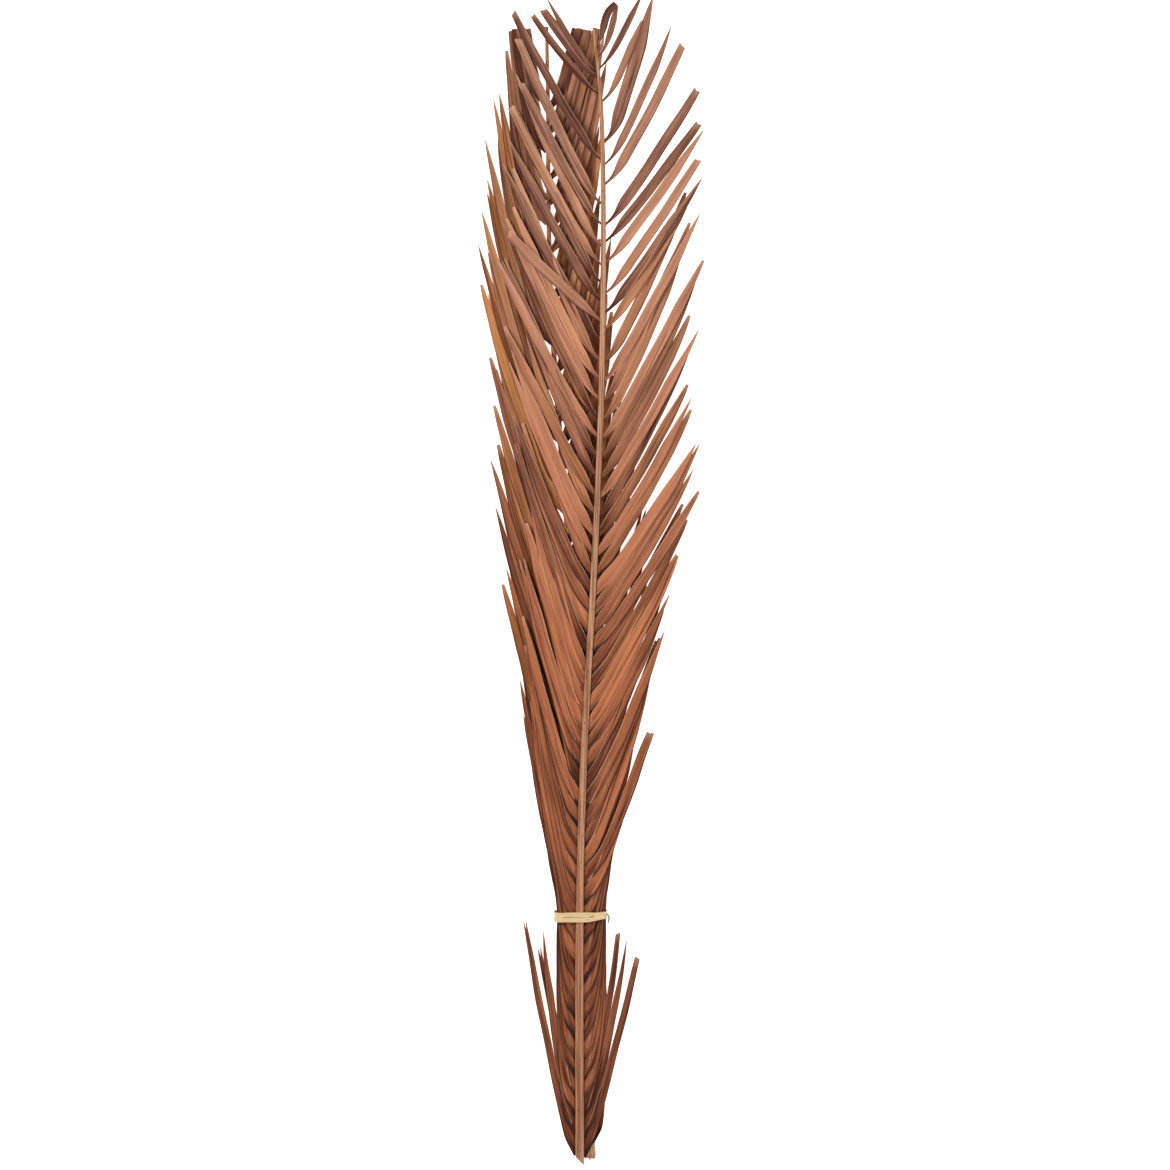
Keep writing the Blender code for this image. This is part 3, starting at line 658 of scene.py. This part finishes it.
def dry_leaf(name, low, high, gold):
    """Dry palm leaf: fibres 0.3 mm apart, drawn as streaks of 1.3 and 0.4 mm so that they show, under a thin
    satin skin. Each pair is its dark and its light colour: low on a frond, high on it, and where orange."""
    material = bpy.data.materials.new(name)
    material.use_nodes = True
    tree = material.node_tree
    shader = tree.nodes["Principled BSDF"]
    tone = add_node(tree, "Attribute", attribute_name="leaf_tone")
    parts = add_node(tree, "SeparateColor", {0: tone.outputs["Color"]})
    bright, golden, share, height = (*parts.outputs, tone.outputs["Alpha"])
    uv = add_node(tree, "UVMap", uv_map="UVMap").outputs["UV"]
    place = add_node(tree, "SeparateXYZ", {0: uv})
    fibre = stretched(tree, uv, 7, 0.5, Detail=3, Roughness=0.6)
    fine = stretched(tree, uv, 22, 1.2, Detail=2)
    stain = stretched(tree, uv, 1.5, 1.8, Detail=4)
    streaks = add_node(tree, "Math", {0: fibre, 1: fine}, operation="ADD").outputs[0]
    spread = add_node(tree, "MapRange", {"Value": streaks, "From Min": 0.75, "From Max": 1.25,
                                         "To Min": -0.25, "To Max": 0.25})
    patch = add_node(tree, "MapRange", {"Value": stain, "From Min": 0.3, "From Max": 0.7,
                                        "To Min": -0.16, "To Max": 0.16})
    # The heel is darker: partly its own reddish colour, partly painted shade of the pockets between the
    # bases.
    heel = add_node(tree, "MapRange", {"Value": share, "From Min": 0.0, "From Max": 0.17,
                                       "To Min": -0.30, "To Max": 0.0})
    # The outer half is turned down and lies in its neighbour's shade, so it is painted darker: painted
    # shade. The outer rim, under the next blade's edge, gets a darker painted shadow.
    across = place.outputs[0]
    shaded = add_node(tree, "MapRange", {"Value": across, "From Min": 0.46, "From Max": 0.56,
                                         "To Min": 0.03, "To Max": -0.10})
    # Painted shadow along the outer rim, under the next blade's edge.
    rim = add_node(tree, "MapRange", {"Value": across, "From Min": 0.82, "From Max": 0.95,
                                      "To Min": 0.0, "To Max": -0.50})
    level = bright
    for change in (spread, patch, shaded, rim, heel):
        level = add_node(tree, "Math", {0: level, 1: change.outputs[0]}, operation="ADD",
                         use_clamp=change is heel).outputs[0]
    low_leaf, high_leaf, gold_leaf = [
        add_node(tree, "Mix", {"Factor": level, 6: linear(dark), 7: linear(light)},
                 data_type="RGBA").outputs[2]
        for dark, light in (low, high, gold)]
    climb = add_node(tree, "MapRange", {"Value": height, "From Min": 0.45, "From Max": 0.85,
                                        "To Min": 0, "To Max": 1})
    body = add_node(tree, "Mix", {"Factor": climb.outputs[0], 6: low_leaf, 7: high_leaf}, data_type="RGBA")
    body = add_node(tree, "Mix", {"Factor": golden, 6: body.outputs[2], 7: gold_leaf}, data_type="RGBA")
    # The inner margin is pale, partly its own dried colour and partly painted highlight where the edge
    # catches the light, and the tips dried pale. The crease at the bottom of the fold is painted darker:
    # painted shade.
    middle = add_node(tree, "Math", {0: across, 1: 0.5}, operation="SUBTRACT")
    offset = add_node(tree, "Math", {0: middle.outputs[0]}, operation="ABSOLUTE")
    margin = add_node(tree, "MapRange", {"Value": across, "From Min": 0.09, "From Max": 0.03,
                                         "To Min": 0, "To Max": 0.85})
    tip = add_node(tree, "MapRange", {"Value": share, "From Min": 0.94, "From Max": 1.0, "To Min": 0,
                                      "To Max": 0.4})
    pale = add_node(tree, "Math", {0: margin.outputs[0], 1: tip.outputs[0]}, operation="MAXIMUM")
    body = add_node(tree, "Mix", {"Factor": pale.outputs[0], 6: body.outputs[2], 7: linear("#dcb295")},
                    data_type="RGBA")
    # Painted shade in the crease, at the bottom of the fold.
    crease = add_node(tree, "MapRange", {"Value": offset.outputs[0], "From Min": 0.0, "From Max": 0.05,
                                         "To Min": 0.35, "To Max": 0})
    body = add_node(tree, "Mix", {"Factor": crease.outputs[0], 6: body.outputs[2], 7: linear("#4a2214")},
                    data_type="RGBA")
    # Painted shadow: where blades crowd, the outer rim lies far under the next blade and is painted nearly
    # black, and the pockets at the heels get the most of this painted shadow.
    pocket = add_node(tree, "MapRange", {"Value": share, "From Min": 0.0, "From Max": 0.09,
                                         "To Min": 0.28, "To Max": 0.0})
    reach = add_node(tree, "Math", {0: across, 1: pocket.outputs[0]}, operation="ADD")
    buried = add_node(tree, "MapRange", {"Value": reach.outputs[0], "From Min": 0.84, "From Max": 0.98,
                                         "To Min": 0.0, "To Max": 0.95})
    # This noise is so long that it differs from blade to blade more than along one.
    lot = add_node(tree, "MapRange", {"Value": stretched(tree, uv, 0.6, 0.35), "From Min": 0.38,
                                      "From Max": 0.62, "To Min": 0.05, "To Max": 1.0})
    buried = add_node(tree, "Math", {0: buried.outputs[0], 1: lot.outputs[0]}, operation="MULTIPLY")
    crowded = add_node(tree, "MapRange", {"Value": height, "From Min": 0.55, "From Max": 0.85,
                                          "To Min": 1.0, "To Max": 0.35})
    gap_shadow = add_node(tree, "Math", {0: buried.outputs[0], 1: crowded.outputs[0]}, operation="MULTIPLY")
    # Painted shadow, nearly black, mixed in where a blade lies under the next one.
    body = add_node(tree, "Mix", {"Factor": gap_shadow.outputs[0], 6: body.outputs[2], 7: linear("#28120a")},
                    data_type="RGBA")
    tree.links.new(body.outputs[2], shader.inputs["Base Color"])
    bump = add_node(tree, "Bump", {"Height": streaks, "Strength": 0.35, "Distance": 0.0003})
    tree.links.new(bump.outputs[0], shader.inputs["Normal"])
    shader.inputs["Roughness"].default_value = 0.6
    shader.inputs["IOR"].default_value = 1.45
    shader.inputs["Specular IOR Level"].default_value = 0.22
    return material


front_leaf = dry_leaf("dry_palm_leaf_mauve", low=("#471708", "#c8784f"), high=("#54291c", "#cc9275"),
                      gold=("#82400f", "#e8a25c"))
rear_leaf = dry_leaf("dry_palm_leaf_orange", low=("#431606", "#be6f45"), high=("#502618", "#c08464"),
                     gold=("#8a4210", "#eba654"))
print("leaf finishes:", front_leaf.name, rear_leaf.name)

# %% The bent leaflet at the crown
# The last leaflet on the right dried bent over: its end comes back down beside it. (x, y, z) in millimetres.
CURL = [(26.0, 1185.0, 27.8), (23.6, 1182.4, 28.8), (20.6, 1178.4, 29.6), (17.2, 1172.3, 30.2),
        (14.6, 1163.7, 30.4), (11.6, 1151.4, 30.2), (8.0, 1142.8, 30.0)]
CURL_START, CURL_BLADE, CURL_STEPS = 14 * MM, 7.2 * MM, 40


def bent_end(frond, leaf, chance):
    """The part of a bent leaflet past its bend, as a blade that starts already wide."""
    rows = [(i, tuple(Vector(point) * MM + SHIFT)) for i, point in enumerate(CURL)]
    marks = np.linspace(0, len(CURL) - 1, CURL_STEPS)
    places = np.array([[along([(i, place[j]) for i, place in rows], mark) for j in range(3)]
                       for mark in marks])
    steps = np.linalg.norm(np.diff(places, axis=0), axis=1)
    runs = CURL_START + np.append(0, np.cumsum(steps))
    bent = dict(leaf, length=float(runs[-1]), blade=CURL_BLADE, end="point", side=-1)
    return bend_blade(frond, bent, chance, (runs, places))


print("bent leaflet:", len(CURL), "points")

# %% Make every fan of leaflets
BLADE_THICK = 0.35 * MM
pieces = []
for frond, leaf_material in ((FRONT, front_leaf), (REAR, rear_leaf)):
    for side_name in ("left", "right"):
        leaflets = leaflets_of(frond, side_name)
        chance = random.Random(frond["seed"] + BLADE_SEEDS[side_name])
        for number, i in enumerate(range(0, len(leaflets), LEAFLETS_PER_FAN), start=1):
            node = f"{frond['name']}_leaflets_{side_name}_{number:02d}"
            copies = [bend_blade(frond, leaf, chance) for leaf in leaflets[i:i + LEAFLETS_PER_FAN]]
            if frond is FRONT and side_name == "right" and i + LEAFLETS_PER_FAN >= len(leaflets):
                copies.append(bent_end(frond, leaflets[-1], chance))
            select_only(*copies)
            bpy.ops.object.join()
            fan = bpy.context.object
            fan.name = node.replace("leaflets", "blades")
            give_wall(fan, BLADE_THICK, -1, smooth_to=20)
            fan.data.materials.clear()
            fan.data.materials.append(leaf_material)
            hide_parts(node)
            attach(fan, "root")
            pieces.append(fan)
bpy.data.objects.remove(blade)
print(len(pieces), "fans,", sum(len(p.data.polygons) for p in pieces) * 2, "triangles")

# %% [markdown]
# ## The stalks
# The rachis is a tapering stalk. Its upper face has a shallow groove on each side of a blunt keel, and the
# butt was cut on the slant. It is one filled ring, shaped in edit mode and then extruded up the stalk's
# curve step by step, because an extrusion can turn and taper at each step as the plant did.

# %% Rachis shape
RACHIS_SIDES, RACHIS_STEPS = 24, 64
# Where the ring is drawn in, as (degrees, size): a groove on each side of the keel, and a flatter belly.
SECTION = ((60, 0.82), (120, 0.82), (45, 0.93), (135, 0.93), (75, 0.95), (105, 0.95), (270, 0.93))


def sweep_rachis(frond):
    """A grooved ring, filled, and extruded from the butt to the tip along the rachis's curve."""
    start, end = frond["x"][0][0], frond["x"][-1][0]
    place = rachis_point(frond, start) + SHIFT
    radius = along(frond["radius"], start)
    select_only(floor)
    bpy.ops.mesh.primitive_circle_add(vertices=RACHIS_SIDES, radius=1, fill_type="NGON",
                                      rotation=(math.pi / 2, 0, 0))
    stalk = bpy.context.object
    stalk.name = frond["name"] + "_stalk"
    bpy.ops.object.transform_apply(rotation=True)
    bpy.ops.object.mode_set(mode="EDIT")
    for angle, size in SECTION:
        spot = Vector((math.cos(math.radians(angle)), 0, math.sin(math.radians(angle))))
        select_points(stalk, lambda co: (co.normalized() - spot).length < 0.05)
        bpy.ops.transform.resize(value=(size, size, size), center_override=(0, 0, 0))
    bpy.ops.mesh.select_all(action="SELECT")
    bpy.ops.transform.resize(value=(radius, radius, radius), center_override=(0, 0, 0))
    bpy.ops.transform.translate(value=place)
    for k in range(1, RACHIS_STEPS + 1):
        y = start + (end - start) * (k / RACHIS_STEPS)
        goal = rachis_point(frond, y) + SHIFT
        bpy.ops.mesh.extrude_region_move(TRANSFORM_OT_translate={"value": goal - place})
        grown = along(frond["radius"], y)
        bpy.ops.transform.resize(value=(grown / radius,) * 3, center_override=goal)
        place, radius = goal, grown
    bpy.ops.mesh.select_all(action="SELECT")
    bpy.ops.mesh.normals_make_consistent(inside=False)
    bpy.ops.object.mode_set(mode="OBJECT")
    return stalk


front_stalk, rear_stalk = sweep_rachis(FRONT), sweep_rachis(REAR)
print("stalks:", [len(obj.data.polygons) for obj in (front_stalk, rear_stalk)], "faces")

# %% [markdown]
# ## The two butts
# The front butt was cut on the slant with secateurs, which a bisect copies exactly. The rear one was torn,
# so its end is ragged: points of its last ring are pulled out by different amounts, and a few loose fibres
# stick out.

# %% Cut the butts
BUTT_SLANT = 1.3
# Every other point of the torn ring is pulled up the stalk and the rest stick out, by these millimetres.
TOOTH_UP, TOOTH_OUT, TOOTH_VARIES = 2.2, -1.8, 1.4
butt = rachis_point(FRONT, 0) + SHIFT + Vector((along(FRONT["radius"], 0), 0, 0))
select_only(front_stalk)
bpy.ops.object.mode_set(mode="EDIT")
bpy.ops.mesh.select_all(action="SELECT")
bpy.ops.mesh.bisect(plane_co=butt, plane_no=(BUTT_SLANT, 1, 0), use_fill=True, clear_inner=True)
bpy.ops.object.mode_set(mode="OBJECT")

select_only(rear_stalk)
bpy.ops.object.mode_set(mode="EDIT")
torn = random.Random(5)
middle = rachis_point(REAR, REAR["x"][0][0]) + SHIFT
for k in range(RACHIS_SIDES):
    angle = math.tau * k / RACHIS_SIDES

    def at_tooth(co):
        """Whether a point is in the last ring, at this tooth's angle round the stalk."""
        turned = math.atan2(co.z - middle.z, co.x - middle.x) - angle
        return abs(co.y - middle.y) < 0.0001 and abs(math.remainder(turned, math.tau)) < 0.1

    select_points(rear_stalk, at_tooth)
    tooth = (TOOTH_UP if k % 2 else TOOTH_OUT) + torn.uniform(-TOOTH_VARIES, TOOTH_VARIES)
    bpy.ops.transform.translate(value=(0, tooth * MM, 0))
bpy.ops.object.mode_set(mode="OBJECT")
print("butts: the front one cut at", [round(value, 4) for value in butt], "and the rear one torn")

# %% Loose fibres
FIBRE_RADIUS, FIBRE_STEPS, FIBRE_TAPER = 0.32 * MM, 5, 0.75
FIBRES_AT_END, FIBRES_BESIDE = 10, (1.3, 1.75, 1.5)


def fibre(start, heading, length):
    """A loose fibre: a small ring extruded in a few short steps that wander and taper."""
    select_only(floor)
    bpy.ops.mesh.primitive_circle_add(vertices=4, radius=FIBRE_RADIUS, fill_type="NGON", location=start,
                                      rotation=(math.pi / 2, 0, heading))
    hair = bpy.context.object
    bpy.ops.object.transform_apply()
    bpy.ops.object.mode_set(mode="EDIT")
    bpy.ops.mesh.select_all(action="SELECT")
    place = Vector(start)
    for _ in range(FIBRE_STEPS):
        heading += torn.uniform(-0.3, 0.3)
        step = Vector((math.sin(heading), -math.cos(heading), torn.uniform(-0.2, 0.2)))
        step = step * length / FIBRE_STEPS
        place += step
        bpy.ops.mesh.extrude_region_move(TRANSFORM_OT_translate={"value": step})
        bpy.ops.transform.resize(value=(FIBRE_TAPER,) * 3, center_override=place)
    bpy.ops.mesh.select_all(action="SELECT")
    bpy.ops.mesh.normals_make_consistent(inside=False)
    bpy.ops.object.mode_set(mode="OBJECT")
    return hair


fibres = []
for k in range(FIBRES_AT_END):
    beside = k - FIBRES_AT_END / 2 + torn.uniform(-0.5, 0.5)
    start = middle + Vector((beside, torn.uniform(-1, 1.5), torn.uniform(0, 3))) * MM
    fibres.append(fibre(start, torn.uniform(-0.3, 0.4), torn.uniform(4, 6.5) * MM))
for turned in FIBRES_BESIDE:
    start = middle + Vector((5.2, 5 + torn.uniform(-1, 1), 1)) * MM
    fibres.append(fibre(start, turned, torn.uniform(5, 8) * MM))
select_only(rear_stalk, *fibres)
bpy.ops.object.join()
print("loose fibres:", len(fibres))

# %% [markdown]
# ## The stalk's finish
# A dry rachis is hard and woody: straight fibres, a smooth worn skin that shines a little, and small dark
# specks where leaflets and spines sat. Its colour changes slowly from the butt to the crown, and the rear
# stalk is palest at its butt. The grain is a noise stretched along the stalk.


# %% Dry stalk
def dry_stalk(name, low, high, dark, speck):
    """Dry palm stalk: grain 0.5 mm apart, drawn at 0.9 mm so that it shows, and a smooth worn skin."""
    material = bpy.data.materials.new(name)
    material.use_nodes = True
    tree = material.node_tree
    shader = tree.nodes["Principled BSDF"]
    place = add_node(tree, "TexCoord").outputs["Object"]
    grain_place = add_node(tree, "VectorMath", {0: place, 1: (1100, 18, 1100)}, operation="MULTIPLY")
    grain = add_node(tree, "TexNoise", {"Vector": grain_place.outputs[0], "Scale": 1, "Detail": 3})
    long_place = add_node(tree, "VectorMath", {0: place, 1: (480, 5, 480)}, operation="MULTIPLY")
    bands = add_node(tree, "TexNoise", {"Vector": long_place.outputs[0], "Scale": 1, "Detail": 3})
    axes = add_node(tree, "SeparateXYZ", {0: place})
    climb = add_node(tree, "MapRange", {"Value": axes.outputs["Y"], "From Min": -0.4, "From Max": 0.2})
    skin = add_node(tree, "Mix", {"Factor": climb.outputs[0], 6: linear(low), 7: linear(high)},
                    data_type="RGBA")
    both = add_node(tree, "Math", {0: grain.outputs["Fac"], 1: bands.outputs["Fac"]}, operation="ADD")
    shade = add_node(tree, "MapRange", {"Value": both.outputs[0], "From Min": 0.82, "From Max": 1.10,
                                        "To Min": 1.0, "To Max": 0.0})
    skin = add_node(tree, "Mix", {"Factor": shade.outputs[0], 6: skin.outputs[2], 7: linear(dark)},
                    data_type="RGBA")
    spot_place = add_node(tree, "VectorMath", {0: place, 1: (260, 110, 260)}, operation="MULTIPLY")
    spots = add_node(tree, "TexVoronoi", {"Vector": spot_place.outputs[0], "Scale": 1})
    spotted = add_node(tree, "MapRange", {"Value": spots.outputs["Distance"], "From Min": 0.10,
                                          "From Max": 0.20, "To Min": 0.7, "To Max": 0})
    skin = add_node(tree, "Mix", {"Factor": spotted.outputs[0], 6: skin.outputs[2], 7: linear(speck)},
                    data_type="RGBA")
    tree.links.new(skin.outputs[2], shader.inputs["Base Color"])
    bump = add_node(tree, "Bump", {"Height": both.outputs[0], "Strength": 0.5, "Distance": 0.0003})
    tree.links.new(bump.outputs[0], shader.inputs["Normal"])
    shader.inputs["Roughness"].default_value = 0.5
    shader.inputs["Specular IOR Level"].default_value = 0.4
    return material


front_bark = dry_stalk("dry_palm_stalk", "#cb8f69", "#d09c76", "#8a5437", "#5c3421")
rear_bark = dry_stalk("dry_palm_stalk_pale", "#eab586", "#a87252", "#a2683e", "#5c3421")
for stalk, bark, name in ((front_stalk, front_bark, "front"), (rear_stalk, rear_bark, "rear")):
    select_only(stalk)
    bpy.ops.object.shade_smooth_by_angle(angle=math.radians(38))
    stalk.data.materials.clear()
    stalk.data.materials.append(bark)
    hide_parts(name + "_rachis")
    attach(stalk, "root")
print("stalk finishes:", front_bark.name, rear_bark.name)

# %% [markdown]
# ## The raffia tie
# Raffia is a strip torn from a palm leaf, so it is flat, a little crumpled and split along its fibres. It
# goes round the bundle twice and hooks through itself on the right. Each turn is one long grid, shaped as
# a strip and then carried round the bundle's outline, which keeps the width wandering and the edges wavy,
# as paper tape would lie. The outline has square corners but for the upper right one, which slopes off
# with the bundle.

# %% Raffia strips
# Half the strip's width in millimetres, its thickness, and how much of its width is left underneath.
RAFFIA_HALF, RAFFIA_THICK, RAFFIA_UNDER = 2.55, 0.25 * MM, 0.75
RAFFIA_STEPS, RAFFIA_COLUMNS = 180, 8
# Near this angle round the outline the two turns part: where, over how much of it, and how far.
GAPE_AT, GAPE_WIDE, GAPE_SHARE = 1.20, 0.16, 0.7


def wrap_point(turn, out):
    """A point on the tie's outline, flat underneath, out metres outside its inner face."""
    c, s = math.cos(turn), math.sin(turn)
    power = 2 / (SLOPED if c > 0 and s > 0 else WRAP_SQUARENESS)
    x = math.copysign(abs(c) ** power, c) * (WRAP_HALF_X + out) * (DRAWN_IN if c > 0 else 1)
    z = math.copysign(abs(s) ** power, s)
    z = max(z, -WRAP_FLATTENED) * (WRAP_HALF_Z + out)
    return TIE_X + x, TIE_MIDDLE_Z + z


def raffia_turn(name, middle_y, seed, out, inner_edge, climbs):
    """One turn of raffia: a grid whose long side goes round the bundle, with a gape at the top right."""
    chance = random.Random(seed)
    phases = [chance.uniform(0, math.tau) for _ in range(6)]
    select_only(floor)
    bpy.ops.mesh.primitive_grid_add(x_subdivisions=RAFFIA_STEPS, y_subdivisions=RAFFIA_COLUMNS, size=2,
                                    calc_uvs=True)
    strip = bpy.context.object
    strip.name = name
    # Slow waves move the strip to and fro and change its width, and quick ones crumple it, in millimetres.
    for vertex in strip.data.vertices:
        turn = math.pi * vertex.co.x
        on_top = 0.5 + 0.5 * math.sin(turn)
        drift = 0.45 * math.sin(turn + phases[0]) + 0.25 * math.sin(3 * turn + phases[1])
        wide = RAFFIA_HALF + 0.22 * math.sin(2 * turn + phases[2]) + 0.12 * math.sin(7 * turn + phases[3])
        drift, wide = drift * on_top, wide * (RAFFIA_UNDER + (1 - RAFFIA_UNDER) * min(2 * on_top, 1))
        gape = math.exp(-((turn - GAPE_AT) / GAPE_WIDE) ** 2) * max(inner_edge * vertex.co.y, 0)
        curl = 0.16 * math.cos(2.5 * vertex.co.y + phases[4]) + 0.10 * math.sin(9 * turn + phases[5])
        lift = out + (0.15 + curl * (1 - 0.5 * abs(vertex.co.y))) * MM
        x, z = wrap_point(turn, lift)
        # On the right of the top, the lower turn climbs over the upper one on its way to the knot.
        high = min(max(z / WRAP_HALF_Z, 0), 1)
        climb = climbs * MM * min(max((x - TIE_X) / WRAP_HALF_X, 0), 1) ** 1.5 * high
        y = middle_y + (drift + wide * vertex.co.y - GAPE_SHARE * inner_edge * gape) * MM + climb
        vertex.co = Vector((x, y, z)) + SHIFT
    bpy.ops.object.mode_set(mode="EDIT")
    bpy.ops.mesh.select_all(action="SELECT")
    bpy.ops.mesh.remove_doubles(threshold=0.00002)
    bpy.ops.mesh.normals_make_consistent(inside=False)
    bpy.ops.object.mode_set(mode="OBJECT")
    give_wall(strip, RAFFIA_THICK, 0, smooth_to=40)
    return strip


upper_turn = raffia_turn("raffia_turn_upper", TIE_Y + 2.5 * MM, 3, 0.1 * MM, -1, 0)
lower_turn = raffia_turn("raffia_turn_lower", TIE_Y - 2.3 * MM, 8, 0.42 * MM, 1, 3.4)
print("raffia turns:", len(upper_turn.data.polygons), "faces each")

# %% Raffia end
# The free end hooks over the two turns on the right: a narrow strip whose rows follow six points. Each has
# its distance out from the tie's right edge, its way up the plan and its height from the tie's middle, and
# half the strip's width there, in millimetres. The strip is tilted, so its width goes both out and up.
HOOK = [(-1.6, 3.2, 5.4, 0.8), (-0.2, 2.6, 5.6, 0.9), (1.0, 1.2, 5.4, 0.9), (1.8, -1.3, 5.0, 0.9),
        (1.4, -4.3, 4.6, 0.8), (0.6, -7.2, 4.0, 0.5)]
HOOK_OUT, HOOK_UP, HOOK_THICK = 0.9, 0.6, 0.3 * MM
select_only(floor)
bpy.ops.mesh.primitive_grid_add(x_subdivisions=4, y_subdivisions=24, size=2, calc_uvs=True)
hook = bpy.context.object
hook.name = "raffia_hook"
edge_x = TIE_X + DRAWN_IN * WRAP_HALF_X + WRAP_THICK
for vertex in hook.data.vertices:
    where = (1 - vertex.co.y) / 2 * (len(HOOK) - 1)
    x, y, z, half = [along([(i, row[j]) for i, row in enumerate(HOOK)], where) for j in range(4)]
    vertex.co = Vector((edge_x + (x + HOOK_OUT * half * vertex.co.x) * MM, TIE_Y + y * MM,
                        TIE_MIDDLE_Z + (z + HOOK_UP * half * vertex.co.x) * MM)) + SHIFT
give_wall(hook, HOOK_THICK, 0, smooth_to=40)
print("raffia hook:", len(hook.data.polygons), "faces")


# %% Raffia finish
def raffia_skin(name, pale, straw, split, across, lengthwise):
    """Raffia: long pale fibres 0.2 mm apart, drawn at 0.6 mm so that they show, with a silky sheen."""
    material = bpy.data.materials.new(name)
    material.use_nodes = True
    tree = material.node_tree
    shader = tree.nodes["Principled BSDF"]
    uv = add_node(tree, "UVMap", uv_map="UVMap").outputs["UV"]
    place = add_node(tree, "VectorMath", {0: uv, 1: (lengthwise, across, 1)}, operation="MULTIPLY")
    fibre = add_node(tree, "TexNoise", {"Vector": place.outputs[0], "Scale": 1, "Detail": 4,
                                        "Roughness": 0.65}, noise_dimensions="2D")
    tint = add_node(tree, "MapRange", {"Value": fibre.outputs["Fac"], "From Min": 0.35, "From Max": 0.62})
    skin = add_node(tree, "Mix", {"Factor": tint.outputs[0], 6: linear(straw), 7: linear(pale)},
                    data_type="RGBA")
    cracks = add_node(tree, "MapRange", {"Value": fibre.outputs["Fac"], "From Min": 0.27, "From Max": 0.34,
                                         "To Min": 0.8, "To Max": 0})
    skin = add_node(tree, "Mix", {"Factor": cracks.outputs[0], 6: skin.outputs[2], 7: linear(split)},
                    data_type="RGBA")
    tree.links.new(skin.outputs[2], shader.inputs["Base Color"])
    bump = add_node(tree, "Bump", {"Height": fibre.outputs["Fac"], "Strength": 0.6, "Distance": 0.0003})
    tree.links.new(bump.outputs[0], shader.inputs["Normal"])
    shader.inputs["Roughness"].default_value = 0.5
    shader.inputs["Sheen Weight"].default_value = 0.15
    return material


raffia = raffia_skin("raffia", "#f0d2a4", "#dcb47c", "#9a7046", 9, 12)
# The hook's map runs across the strip first and along it second, so its two scales change places.
raffia_end = raffia_skin("raffia_dry_end", "#a3a08c", "#78775f", "#545242", 1.5, 5)
for piece, finish, node in ((upper_turn, raffia, "raffia_wrap_upper"),
                            (lower_turn, raffia, "raffia_wrap_lower"), (hook, raffia_end, "raffia_knot")):
    piece.data.materials.clear()
    piece.data.materials.append(finish)
    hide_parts(node)
    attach(piece, "root")
print("raffia finishes:", raffia.name, raffia_end.name)
